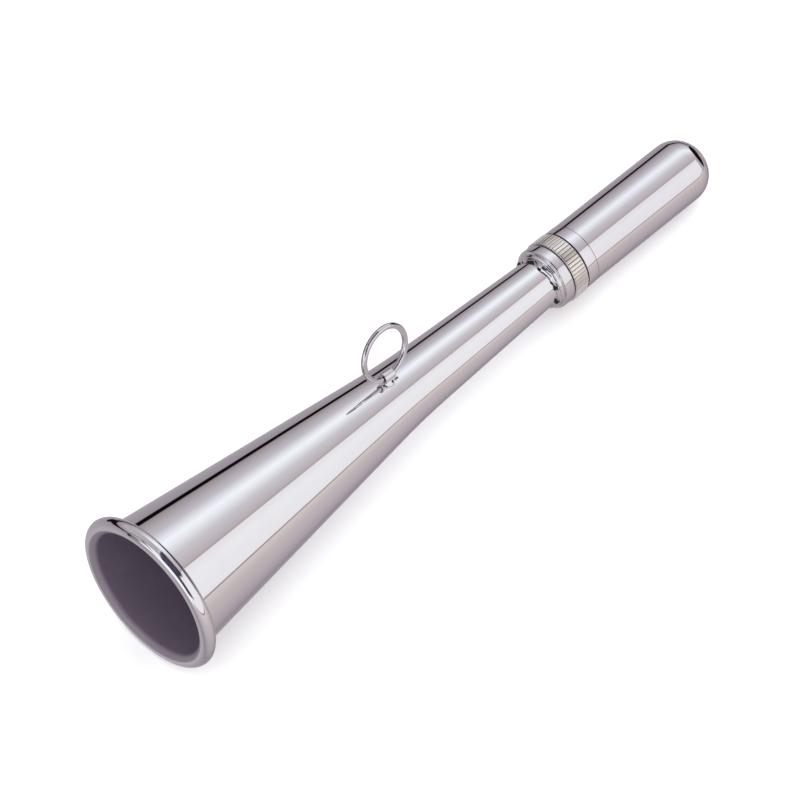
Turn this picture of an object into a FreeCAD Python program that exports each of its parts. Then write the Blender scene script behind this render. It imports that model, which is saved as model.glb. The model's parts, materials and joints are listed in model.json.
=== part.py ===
"""A mouth-blown reed signal horn, built as its separate pieces.

The horn lies on a table on its rim and on the round end of its mouthpiece, with the hanging
ring on top and the mouth towards -X.  Every piece is first shaped in horn coordinates: X runs
along the horn's axis from the plane of the rim to the mouthpiece, Z points to the ring's side.
lay_down() then tips the finished piece into its resting place.  All sizes are in millimetres.
"""
import FreeCAD, Part
import math
import os

V = FreeCAD.Vector

# Bell: one spun sheet, a wide cone that bends into a slender neck.
SHEET = 0.7
MOUTH_RADIUS = 30.2
KNEE_FROM_RIM = 140.3
KNEE_RADIUS = 14.3
KNEE_BEND_RADIUS = 400.0
NECK_FROM_RIM = 221.3
NECK_RADIUS = 10.8

# Rim: the sheet's edge is curled outward round a wire.
RIM_BEAD_RADIUS = 3.2
RIM_OUTSET = 1.7
RIM_CURL_END_DEG = -30.0
WIRE_CLEARANCE = 0.03

# Hanging ring and the barrel lug that it swings in.
LUG_FROM_RIM = 131.4
LUG_LENGTH = 5.4
LUG_RADIUS = 2.5
LUG_HEIGHT = 3.3
LUG_FOOT_LENGTH = 4.0
LUG_FOOT_WIDTH = 3.0
LUG_SOLDER_RADIUS = 4.2
LUG_SOLDER_TOP_RADIUS = 2.3
LUG_SOLDER_HEIGHT = 1.3
RING_MEAN_RADIUS = 11.7
RING_WIRE_RADIUS = 1.3
RING_LEAN_DEG = 15.0
RING_PLAY = 0.34

# Screwed joint between the neck, the reed carrier and the mouthpiece.
TUBE_RADIUS = 14.0
NECK_SOLDER_LENGTH = 1.7
BOSS_LENGTH = 1.7
BOSS_RADIUS = NECK_RADIUS + 1.6
COLLAR_LENGTH = 5.0
COLLAR_ROUNDING = 0.8
NECK_IN_COLLAR = 0.6
SOCKET_FLOOR = 0.9
WASHER = 0.4
WASHER_RECESS = 0.35
KNURL_WIDTH = 7.5
KNURL_RADIUS = TUBE_RADIUS + 0.5
KNURL_RIDGES = 54
KNURL_DEPTH = 0.45
KNURL_LAND_SHARE = 0.6
KNURL_GROOVE_SHARE = 0.14
KNURL_CHAMFER = 0.35
THREAD_RADIUS = TUBE_RADIUS - 2.05
THREAD_PITCH = 1.0
THREAD_DEPTH = 0.45
THREAD_PLAY = 0.07
END_PLAY = 0.4

# Mouthpiece: a deep drawn cup with a blow hole, soldered to a threaded ferrule.
FERRULE_LENGTH = 6.0
FERRULE_RADIUS = TUBE_RADIUS + 0.15
FERRULE_SPIGOT = 4.2
FERRULE_SOLDER = 0.2
TUBE_LENGTH = 64.2
KNUCKLE_RADIUS = TUBE_RADIUS - 1.4
CROWN_RADIUS = TUBE_RADIUS + 4.0
BLOW_HOLE_RADIUS = 4.5

# Reed unit: a shallot with a flat, a bed, a springy tongue, a clamp plate and two screws.
SHALLOT_RADIUS = 6.0
SHALLOT_WALL = 0.8
SHALLOT_REACH = 40.0
FLAT_HEIGHT = 3.0
FLAT_SETBACK = 1.6
PLUG_LENGTH = 3.0
BED_LENGTH = 8.0
BED_THICKNESS = 2.0
BED_SETBACK = 1.0
TONGUE_THICKNESS = 0.3
TONGUE_WIDTH = 9.6
TONGUE_GAPE_DEG = 1.7
TONGUE_SPLIT = 0.05
CLAMP_THICKNESS = 1.0
SCREW_RADIUS = 0.8
SCREW_PLAY = 0.02
SCREW_HEAD_RADIUS = 1.4
SCREW_HEAD_HEIGHT = 0.9
SCREW_SPREAD = 2.6
SCREW_SLOT = 0.4

# Stations along the horn's axis, from the plane of the rim.
BOSS_FRONT = NECK_FROM_RIM + NECK_SOLDER_LENGTH
COLLAR_FRONT = BOSS_FRONT + BOSS_LENGTH
COLLAR_END = COLLAR_FRONT + COLLAR_LENGTH
SOCKET_FRONT = COLLAR_FRONT + SOCKET_FLOOR
KNURL_FRONT = COLLAR_END + WASHER
KNURL_END = KNURL_FRONT + KNURL_WIDTH
FERRULE_FRONT = KNURL_END + WASHER
FERRULE_END = FERRULE_FRONT + FERRULE_LENGTH
SPIGOT_FRONT = SOCKET_FRONT + END_PLAY
SPIGOT_END = FERRULE_END - END_PLAY
TUBE_FRONT = FERRULE_END + FERRULE_SOLDER
KNUCKLE_X = TUBE_FRONT + TUBE_LENGTH
CROWN_X = KNUCKLE_X - math.sqrt((CROWN_RADIUS - KNUCKLE_RADIUS) ** 2 - (TUBE_RADIUS - KNUCKLE_RADIUS) ** 2)
FLAT_FRONT = SPIGOT_END + FLAT_SETBACK
BED_FRONT = FLAT_FRONT + BED_SETBACK
BED_END = BED_FRONT + BED_LENGTH
SHALLOT_END = SPIGOT_END + SHALLOT_REACH

RIM_RING_RADIUS = MOUTH_RADIUS + RIM_OUTSET
FEMALE_RADIUS = THREAD_RADIUS + THREAD_PLAY
SHALLOT_BORE = SHALLOT_RADIUS - SHALLOT_WALL


# ---- outlines in the plane of the axis: x along the axis, r away from it ----

def at(x, r):
    """A point of an outline."""
    return V(x, 0, r)


def polar(centre, radius, degrees):
    """A point of the outline at an angle round a centre."""
    angle = math.radians(degrees)
    return centre + at(radius * math.cos(angle), radius * math.sin(angle))


def line(*points):
    """Straight edges from point to point."""
    return [Part.makeLine(a, b) for a, b in zip(points, points[1:])]


def arc(start, middle, end):
    """One arc through three points."""
    return [Part.Arc(start, middle, end).toShape()]


def turned(edges):
    """The solid that a closed outline sweeps in one turn round the axis."""
    outline = Part.Wire(Part.__sortEdges__(edges))
    return Part.Face(outline).revolve(V(0, 0, 0), V(1, 0, 0), 360)


def turned_polygon(*points):
    """A turned solid with straight edges only."""
    return turned(line(*points, points[0]))


def thread(start, end, crest, root):
    """Thread ridges along a cylinder, as outline points, with a plain stretch at the end."""
    turns = math.ceil((end - start) / THREAD_PITCH) - 1
    points = [at(start, root)]
    for turn in range(turns):
        points.append(at(start + (turn + 0.5) * THREAD_PITCH, crest))
        points.append(at(start + (turn + 1) * THREAD_PITCH, root))
    return points + [at(end, root)]


def cylinder(radius, start, end):
    """A cylinder on the horn's axis."""
    return Part.makeCylinder(radius, end - start, V(start, 0, 0), V(1, 0, 0))


def block(start, end, half_width, bottom, top):
    """A box along the axis, centred across it."""
    return Part.makeBox(end - start, 2 * half_width, top - bottom, V(start, -half_width, bottom))


# ---- the bell's outline ----

class BellOutline:
    """The outside of the sheet: the cone, the bend at the knee and the neck."""

    def __init__(self):
        mouth = at(0, MOUTH_RADIUS)
        knee = at(KNEE_FROM_RIM, KNEE_RADIUS)
        neck = at(NECK_FROM_RIM, NECK_RADIUS)
        self.mouth = mouth
        self.cone = (knee - mouth).normalize()
        self.neck = (neck - knee).normalize()
        self.neck_point = neck
        self.cone_out = at(-self.cone.z, self.cone.x)
        self.neck_out = at(-self.neck.z, self.neck.x)
        reach = KNEE_BEND_RADIUS * math.tan(self.cone.getAngle(self.neck) / 2)
        self.bend_start = knee - self.cone * reach
        self.bend_end = knee + self.neck * reach
        self.bend_centre = self.bend_start + self.cone_out * KNEE_BEND_RADIUS
        self.bend_down = (knee - self.bend_centre).normalize()

    def bend(self, depth):
        """The bend's arc, at a depth under the outside of the sheet."""
        start = self.bend_start - self.cone_out * depth
        middle = self.bend_centre + self.bend_down * (KNEE_BEND_RADIUS + depth)
        end = self.bend_end - self.neck_out * depth
        return start, middle, end

    def neck_at(self, x, depth=0.0):
        """The neck's outline point at a station, at a depth under the outside."""
        point = self.neck_point - self.neck_out * depth
        return point + self.neck * ((x - point.x) / self.neck.x)

    def outside(self, x):
        """The outside point and the outward direction at a station."""
        if x < self.bend_start.x:
            return self.mouth + self.cone * (x / self.cone.x), self.cone_out
        if x > self.bend_end.x:
            return self.neck_at(x), self.neck_out
        across = x - self.bend_centre.x
        drop = math.sqrt(KNEE_BEND_RADIUS ** 2 - across ** 2)
        point = at(x, self.bend_centre.z - drop)
        return point, (self.bend_centre - point).normalize()

    def cone_meets(self, centre, radius, depth):
        """Where the cone, at a depth, runs into a circle round a centre, on its way from the neck."""
        foot = self.mouth - self.cone_out * depth
        along = (centre - foot).dot(self.cone)
        across = (centre - foot - self.cone * along).Length
        return foot + self.cone * (along + math.sqrt(radius ** 2 - across ** 2))


OUTLINE = BellOutline()


def curl(centre, radius, start):
    """The way round the rim wire from the cone to the sheet's end: start, middle and end."""
    from_deg = math.degrees(math.atan2(start.z - centre.z, start.x - centre.x))
    sweep = from_deg - RIM_CURL_END_DEG + 360
    return start, polar(centre, radius, from_deg - sweep / 2), polar(centre, radius, RIM_CURL_END_DEG)


def bell():
    """The spun sheet from the curled rim to its end inside the collar."""
    centre = at(0, RIM_RING_RADIUS)
    wire_side = RIM_BEAD_RADIUS - SHEET
    outer_start = OUTLINE.cone_meets(centre, wire_side, 0.0)
    inner_start = OUTLINE.cone_meets(centre, RIM_BEAD_RADIUS, SHEET)
    outer_curl = curl(centre, wire_side, outer_start)
    inner_curl = curl(centre, RIM_BEAD_RADIUS, inner_start)
    outer_bend = OUTLINE.bend(0.0)
    inner_bend = OUTLINE.bend(SHEET)
    outer_end = OUTLINE.neck_at(COLLAR_FRONT + NECK_IN_COLLAR)
    inner_end = OUTLINE.neck_at(COLLAR_FRONT + NECK_IN_COLLAR, SHEET)
    edges = line(outer_end, outer_bend[2])
    edges += arc(*outer_bend)
    edges += line(outer_bend[0], outer_start)
    edges += arc(*outer_curl)
    edges += line(outer_curl[2], inner_curl[2])
    edges += arc(*inner_curl)
    edges += line(inner_start, inner_bend[0])
    edges += arc(*inner_bend)
    edges += line(inner_bend[2], inner_end, outer_end)
    return turned(edges)


def rim_wire():
    """The wire inside the curled rim."""
    radius = RIM_BEAD_RADIUS - SHEET - WIRE_CLEARANCE
    return Part.makeTorus(RIM_RING_RADIUS, radius, V(0, 0, 0), V(1, 0, 0))


def bell_envelope():
    """The bell as a full body, to shape what is soldered onto it, with its seam below."""
    start, middle, end = OUTLINE.bend(0.0)
    edges = line(at(OUTLINE.neck_point.x, 0), OUTLINE.neck_point, end)
    edges += arc(end, middle, start)
    edges += line(start, OUTLINE.mouth, at(0, 0), at(OUTLINE.neck_point.x, 0))
    body = turned(edges)
    body.rotate(V(0, 0, 0), V(1, 0, 0), 180)
    return body


# ---- lug and hanging ring ----

def lug_axes():
    """The lug's foot on the bell, the way along the barrel, and the way out of the bell."""
    foot, out = OUTLINE.outside(LUG_FROM_RIM)
    return foot, V(out.z, 0, -out.x), out


def on_lug(shape):
    """Moves a shape made at the origin (X along the barrel, Z out of the bell) onto the bell."""
    foot, along, out = lug_axes()
    turn = FreeCAD.Rotation(along, out.cross(along), out, "XZY")
    return moved(shape, FreeCAD.Placement(foot, turn))


def moved(shape, placement):
    """A copy of the shape after a rigid move."""
    copy = shape.copy()
    copy.Placement = placement.multiply(copy.Placement)
    return copy


def lug_bore():
    """The barrel's bore, wide enough for the curve of the ring's wire."""
    sag = ring_sag()
    radius = RING_WIRE_RADIUS + sag / 2 + RING_PLAY
    return Part.makeCylinder(radius, 2 * LUG_LENGTH, V(-LUG_LENGTH, 0, LUG_HEIGHT), V(1, 0, 0))


def ring_sag():
    """How far the ring's wire curves away over the length of the barrel."""
    return RING_MEAN_RADIUS - math.sqrt(RING_MEAN_RADIUS ** 2 - (LUG_LENGTH / 2) ** 2)


def lug_blank():
    """The barrel on its short foot, before it is bored."""
    barrel = Part.makeCylinder(LUG_RADIUS, LUG_LENGTH, V(-LUG_LENGTH / 2, 0, LUG_HEIGHT), V(1, 0, 0))
    corner = V(-LUG_FOOT_LENGTH / 2, -LUG_FOOT_WIDTH / 2, -LUG_HEIGHT)
    foot = Part.makeBox(LUG_FOOT_LENGTH, LUG_FOOT_WIDTH, 2 * LUG_HEIGHT, corner)
    return barrel.fuse(foot).removeSplitter()


def ring_lug():
    """The barrel that the hanging ring swings in, with its foot shaped to the bell."""
    return on_lug(lug_blank().cut(lug_bore())).cut(bell_envelope())


def lug_solder():
    """The solder that beds the lug on the bell."""
    base = V(0, 0, -LUG_SOLDER_HEIGHT)
    height = 2 * LUG_SOLDER_HEIGHT
    mound = Part.makeCone(LUG_SOLDER_RADIUS, LUG_SOLDER_TOP_RADIUS, height, base)
    filled = lug_blank().fuse(lug_bore())
    return on_lug(mound.cut(filled)).cut(bell_envelope())


def hang_ring():
    """The closed wire ring, leaning back in its lug."""
    sag = ring_sag()
    ring = Part.makeTorus(RING_MEAN_RADIUS, RING_WIRE_RADIUS, V(0, 0, 0), V(0, 1, 0))
    ring.translate(V(0, 0, RING_MEAN_RADIUS - sag / 2))
    ring.rotate(V(0, 0, 0), V(1, 0, 0), -RING_LEAN_DEG)
    ring.translate(V(0, 0, LUG_HEIGHT))
    return on_lug(ring)


# ---- the screwed joint ----

def neck_solder():
    """The solder fillet between the neck and the collar's boss."""
    start = OUTLINE.neck_at(NECK_FROM_RIM)
    foot = OUTLINE.neck_at(BOSS_FRONT)
    top = at(BOSS_FRONT, BOSS_RADIUS - COLLAR_ROUNDING / 2)
    bulge = (start + top) * 0.5 + at(-NECK_SOLDER_LENGTH / 8, NECK_SOLDER_LENGTH / 8)
    return turned(arc(start, bulge, top) + line(top, foot, start))


def neck_collar():
    """The threaded collar soldered on the neck: a boss, a rounded shoulder and a socket."""
    bore = OUTLINE.neck_at(BOSS_FRONT).z
    shoulder = at(COLLAR_FRONT + COLLAR_ROUNDING, TUBE_RADIUS - COLLAR_ROUNDING)
    boss = at(BOSS_FRONT + COLLAR_ROUNDING, BOSS_RADIUS - COLLAR_ROUNDING)
    socket = thread(SOCKET_FRONT, COLLAR_END, FEMALE_RADIUS, FEMALE_RADIUS + THREAD_DEPTH)
    edges = line(at(BOSS_FRONT, bore), at(BOSS_FRONT, boss.z))
    edges += arc(at(BOSS_FRONT, boss.z), polar(boss, COLLAR_ROUNDING, 135), at(boss.x, BOSS_RADIUS))
    edges += line(at(boss.x, BOSS_RADIUS), at(COLLAR_FRONT, BOSS_RADIUS), at(COLLAR_FRONT, shoulder.z))
    edges += arc(at(COLLAR_FRONT, shoulder.z), polar(shoulder, COLLAR_ROUNDING, 135),
                 at(shoulder.x, TUBE_RADIUS))
    edges += line(at(shoulder.x, TUBE_RADIUS), at(COLLAR_END, TUBE_RADIUS), *reversed(socket))
    edges += line(socket[0], at(SOCKET_FRONT, bore), at(BOSS_FRONT, bore))
    return turned(edges)


def washer(start):
    """A flat sealing washer round a threaded spigot."""
    outside = TUBE_RADIUS - WASHER_RECESS
    ring = cylinder(outside, start, start + WASHER)
    return ring.cut(cylinder(THREAD_RADIUS + THREAD_PLAY, start, start + WASHER))


def front_washer():
    """The sealing washer between the collar and the reed carrier."""
    return washer(COLLAR_END)


def rear_washer():
    """The sealing washer between the reed carrier and the mouthpiece."""
    return washer(KNURL_END)


def knurled_flange():
    """The finger ring of the reed carrier, with straight flat-topped ridges all round."""
    step = 2 * math.pi / KNURL_RIDGES
    root = KNURL_RADIUS - KNURL_DEPTH
    land = KNURL_LAND_SHARE / 2
    groove = KNURL_GROOVE_SHARE / 2
    ridge_form = ((-land, KNURL_RADIUS), (land, KNURL_RADIUS), (0.5 - groove, root), (0.5 + groove, root))
    outline = []
    for ridge in range(KNURL_RIDGES):
        for share, radius in ridge_form:
            angle = (ridge + share) * step
            outline.append(V(KNURL_FRONT, radius * math.cos(angle), radius * math.sin(angle)))
    star = Part.Face(Part.makePolygon(outline + outline[:1])).extrude(V(KNURL_WIDTH, 0, 0))
    blunt = KNURL_RADIUS - KNURL_CHAMFER
    blank = turned_polygon(
        at(KNURL_FRONT, 0), at(KNURL_FRONT, blunt), at(KNURL_FRONT + KNURL_CHAMFER, KNURL_RADIUS),
        at(KNURL_END - KNURL_CHAMFER, KNURL_RADIUS), at(KNURL_END, blunt), at(KNURL_END, 0))
    return star.common(blank)


def reed_carrier():
    """The knurled ring with a threaded spigot on each side, bored for the shallot."""
    root = THREAD_RADIUS - THREAD_DEPTH
    front = thread(SPIGOT_FRONT, KNURL_FRONT, THREAD_RADIUS, root)
    rear = thread(KNURL_END, SPIGOT_END, THREAD_RADIUS, root)
    spigots = turned_polygon(at(SPIGOT_FRONT, 0), *front, *rear, at(SPIGOT_END, 0))
    bore = cylinder(SHALLOT_RADIUS, SPIGOT_FRONT, SPIGOT_END)
    return knurled_flange().fuse(spigots).cut(bore)


# ---- the reed unit ----

def above_flat(start, end, height=FLAT_HEIGHT):
    """Everything of the shallot above a level, between two stations."""
    return block(start, end, 2 * SHALLOT_RADIUS, height, 2 * SHALLOT_RADIUS)


def shallot():
    """The tube that leads the air to the neck, cut flat where the tongue beats."""
    tube = cylinder(SHALLOT_RADIUS, SPIGOT_FRONT, SHALLOT_END)
    tube = tube.cut(cylinder(SHALLOT_BORE, SPIGOT_FRONT, SHALLOT_END))
    return tube.cut(above_flat(FLAT_FRONT, SHALLOT_END))


def shallot_plug():
    """The plug that closes the shallot's end."""
    plug = cylinder(SHALLOT_BORE, SHALLOT_END - PLUG_LENGTH, SHALLOT_END)
    return plug.cut(above_flat(SHALLOT_END - PLUG_LENGTH, SHALLOT_END))


def upright_holes(radius, bottom, top):
    """Two upright cylinders where the clamp screws go."""
    middle = (BED_FRONT + BED_END) / 2
    left, right = [Part.makeCylinder(radius, top - bottom, V(middle, side * SCREW_SPREAD, bottom))
                   for side in (-1, 1)]
    return left.fuse(right)


def reed_bed():
    """The tapped block that the tongue is clamped on, set in the shallot under its flat."""
    bed = cylinder(SHALLOT_BORE, BED_FRONT, BED_END)
    bed = bed.common(block(BED_FRONT, BED_END, SHALLOT_BORE, FLAT_HEIGHT - BED_THICKNESS, FLAT_HEIGHT))
    return bed.cut(upright_holes(SCREW_RADIUS + SCREW_PLAY, 0, TUBE_RADIUS))


def reed_root():
    """The clamped end of the reed tongue."""
    root = block(BED_FRONT, BED_END, TONGUE_WIDTH / 2, FLAT_HEIGHT, FLAT_HEIGHT + TONGUE_THICKNESS)
    return root.cut(upright_holes(SCREW_RADIUS + SCREW_PLAY, 0, TUBE_RADIUS))


def bending_line():
    """The point of the axis where the tongue starts to bend."""
    return V(BED_END, 0, FLAT_HEIGHT + TONGUE_THICKNESS / 2)


def reed_tongue():
    """The free blade of the reed tongue, standing a little off the flat."""
    base = FLAT_HEIGHT + 2 * SCREW_PLAY
    blade = block(BED_END + TONGUE_SPLIT, SHALLOT_END, TONGUE_WIDTH / 2, base, base + TONGUE_THICKNESS)
    blade.rotate(bending_line(), V(0, 1, 0), -TONGUE_GAPE_DEG)
    return blade


def reed_clamp():
    """The plate that holds the tongue down."""
    bottom = FLAT_HEIGHT + TONGUE_THICKNESS
    plate = block(BED_FRONT, BED_END, TONGUE_WIDTH / 2, bottom, bottom + CLAMP_THICKNESS)
    return plate.cut(upright_holes(SCREW_RADIUS + SCREW_PLAY, 0, TUBE_RADIUS))


def clamp_screws():
    """The two slotted screws of the clamp, as separate solids of one node."""
    middle = (BED_FRONT + BED_END) / 2
    tip = FLAT_HEIGHT - BED_THICKNESS
    seat = FLAT_HEIGHT + TONGUE_THICKNESS + CLAMP_THICKNESS
    screws = []
    for side in (-1, 1):
        y = side * SCREW_SPREAD
        shank = Part.makeCylinder(SCREW_RADIUS, seat - tip, V(middle, y, tip))
        head = Part.makeCylinder(SCREW_HEAD_RADIUS, SCREW_HEAD_HEIGHT, V(middle, y, seat))
        slot = block(middle - SCREW_HEAD_RADIUS, middle + SCREW_HEAD_RADIUS, SCREW_SLOT / 2,
                     seat + SCREW_HEAD_HEIGHT - SCREW_SLOT, seat + SCREW_HEAD_HEIGHT)
        slot.translate(V(0, y, 0))
        screws.append(shank.fuse(head).cut(slot).removeSplitter())
    return Part.makeCompound(screws)


# ---- the mouthpiece ----

def mouthpiece_ferrule():
    """The plain band at the mouthpiece's open end, threaded inside, with a spigot for the tube."""
    spigot_end = FERRULE_END + FERRULE_SPIGOT
    inside = thread(FERRULE_FRONT, FERRULE_END, FEMALE_RADIUS, FEMALE_RADIUS + THREAD_DEPTH)
    return turned_polygon(
        at(FERRULE_FRONT, FERRULE_RADIUS), at(FERRULE_END, FERRULE_RADIUS),
        at(FERRULE_END, TUBE_RADIUS - SHEET), at(spigot_end, TUBE_RADIUS - SHEET),
        at(spigot_end, FEMALE_RADIUS + THREAD_DEPTH), *reversed(inside))


def ferrule_solder():
    """The thin line of solder between the ferrule and the tube."""
    ring = cylinder(TUBE_RADIUS, FERRULE_END, TUBE_FRONT)
    return ring.cut(cylinder(TUBE_RADIUS - SHEET, FERRULE_END, TUBE_FRONT))


def mouthpiece_tube():
    """The drawn cup: a straight tube, a rounded end and the blow hole in its middle."""
    knuckle = at(KNUCKLE_X, TUBE_RADIUS - KNUCKLE_RADIUS)
    crown = at(CROWN_X, 0)
    meeting_deg = math.degrees(math.atan2(knuckle.z, knuckle.x - crown.x))
    sides = []
    for depth in (0.0, SHEET):
        crown_radius = CROWN_RADIUS - depth
        hole_deg = math.degrees(math.asin(BLOW_HOLE_RADIUS / crown_radius))
        start = at(TUBE_FRONT, TUBE_RADIUS - depth)
        shoulder = polar(knuckle, KNUCKLE_RADIUS - depth, 90)
        half_way = polar(knuckle, KNUCKLE_RADIUS - depth, (90 + meeting_deg) / 2)
        meeting = polar(knuckle, KNUCKLE_RADIUS - depth, meeting_deg)
        on_crown = polar(crown, crown_radius, (meeting_deg + hole_deg) / 2)
        hole = polar(crown, crown_radius, hole_deg)
        sides.append((start, shoulder, half_way, meeting, on_crown, hole))
    edges = line(sides[0][0], sides[1][0]) + line(sides[0][-1], sides[1][-1])
    for start, shoulder, half_way, meeting, on_crown, hole in sides:
        edges += line(start, shoulder)
        edges += arc(shoulder, half_way, meeting)
        edges += arc(meeting, on_crown, hole)
    return turned(edges)


# ---- the resting place ----

def resting_angle():
    """The tip of the axis, in radians, when the rim and the mouthpiece's end touch the table."""
    run = KNUCKLE_X
    rise = RIM_RING_RADIUS - (TUBE_RADIUS - KNUCKLE_RADIUS)
    return math.atan2(rise, run) - math.asin((KNUCKLE_RADIUS - RIM_BEAD_RADIUS) / math.hypot(run, rise))


def resting_placement():
    """Horn coordinates to the table: the lowest points at z = 0, the bounding box centred on x = 0."""
    angle = resting_angle()
    crown_deg = math.asin(BLOW_HOLE_RADIUS / CROWN_RADIUS)
    hole_x = CROWN_X + CROWN_RADIUS * math.cos(crown_deg)
    rear = hole_x * math.cos(angle) + BLOW_HOLE_RADIUS * math.sin(angle)
    front = -RIM_RING_RADIUS * math.sin(angle) - RIM_BEAD_RADIUS
    height = RIM_RING_RADIUS * math.cos(angle) + RIM_BEAD_RADIUS
    turn = FreeCAD.Rotation(V(0, 1, 0), math.degrees(angle))
    return FreeCAD.Placement(V(-(front + rear) / 2, 0, height), turn)


PIECES = (
    bell, rim_wire, ring_lug, lug_solder, hang_ring,
    neck_solder, neck_collar, front_washer,
    reed_carrier, shallot, shallot_plug, reed_bed, reed_root, reed_tongue, reed_clamp, clamp_screws,
    rear_washer, mouthpiece_ferrule, ferrule_solder, mouthpiece_tube,
)


def main():
    """Writes one STEP file per piece and prints its volume."""
    os.makedirs("parts", exist_ok=True)
    resting = resting_placement()
    for piece in PIECES:
        shape = moved(piece(), resting)
        if not shape.isValid():
            raise ValueError(f"{piece.__name__} is not a valid solid")
        shape.exportStep(f"parts/{piece.__name__}.step")
        print(f"{piece.__name__}: {len(shape.Solids)} solid(s), {shape.Volume:.1f} mm3")


if __name__ == "__main__":
    main()
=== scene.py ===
"""The looks of a mouth-blown reed signal horn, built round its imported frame.

The horn is polished chrome plate on spun sheet.  Its bright surfaces mirror a studio tent of long
panels, so every bright piece is rebuilt here with a fine, smooth mesh in the place of its plain one.
Outlines are in millimetres in the horn's own axes: x along the horn from the plane of the rim to
the mouthpiece, r away from the axis, z to the ring's side.
"""

import json
import logging
import math
from dataclasses import dataclass, field
from enum import Enum

import bmesh
import bpy
from mathutils import Matrix, Vector, noise


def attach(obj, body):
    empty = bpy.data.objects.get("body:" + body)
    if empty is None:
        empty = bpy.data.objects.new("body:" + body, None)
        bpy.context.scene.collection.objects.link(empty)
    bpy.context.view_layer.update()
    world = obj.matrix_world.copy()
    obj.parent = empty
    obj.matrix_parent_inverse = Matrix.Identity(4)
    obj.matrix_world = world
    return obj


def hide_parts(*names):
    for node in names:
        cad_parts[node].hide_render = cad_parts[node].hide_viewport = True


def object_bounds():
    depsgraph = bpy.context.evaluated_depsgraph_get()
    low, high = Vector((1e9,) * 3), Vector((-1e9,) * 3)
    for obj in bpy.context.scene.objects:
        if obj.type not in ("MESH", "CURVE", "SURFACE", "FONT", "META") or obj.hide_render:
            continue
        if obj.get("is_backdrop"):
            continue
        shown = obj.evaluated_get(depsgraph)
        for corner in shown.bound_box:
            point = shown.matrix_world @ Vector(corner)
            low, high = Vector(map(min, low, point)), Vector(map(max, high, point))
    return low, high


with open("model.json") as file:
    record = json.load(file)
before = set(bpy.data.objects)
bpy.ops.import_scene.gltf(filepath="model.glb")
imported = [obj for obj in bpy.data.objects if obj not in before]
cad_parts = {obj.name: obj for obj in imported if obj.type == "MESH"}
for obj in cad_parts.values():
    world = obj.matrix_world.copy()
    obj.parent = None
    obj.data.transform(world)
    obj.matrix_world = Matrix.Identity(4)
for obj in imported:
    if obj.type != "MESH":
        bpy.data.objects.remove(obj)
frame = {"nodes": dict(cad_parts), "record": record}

MM = 0.001
FULL_TURN = 2 * math.pi
SCRATCH_DEPTH = 0.0012
WASHER_ROUND = 0.12
# Width in millimetres of the near-black painted shade strips at the joints beside the rear washer.
SHADE_STRIP_WIDTH = 0.2
LOG = logging.getLogger("horn")

Point = tuple[float, float]
Colour = tuple[float, float, float]


# ---------------------------------------------------------------- colours and node groups

def linear(red: float, green: float, blue: float) -> Colour:
    """Turns a display colour into the linear light that shaders use.

    Args:
        red: Display red, 0 to 255.
        green: Display green, 0 to 255.
        blue: Display blue, 0 to 255.

    Returns:
        The three linear values, 0 to 1.
    """
    def one(value: float) -> float:
        share = value / 255
        return share / 12.92 if share <= 0.04045 else ((share + 0.055) / 1.055) ** 2.4
    return one(red), one(green), one(blue)


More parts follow.
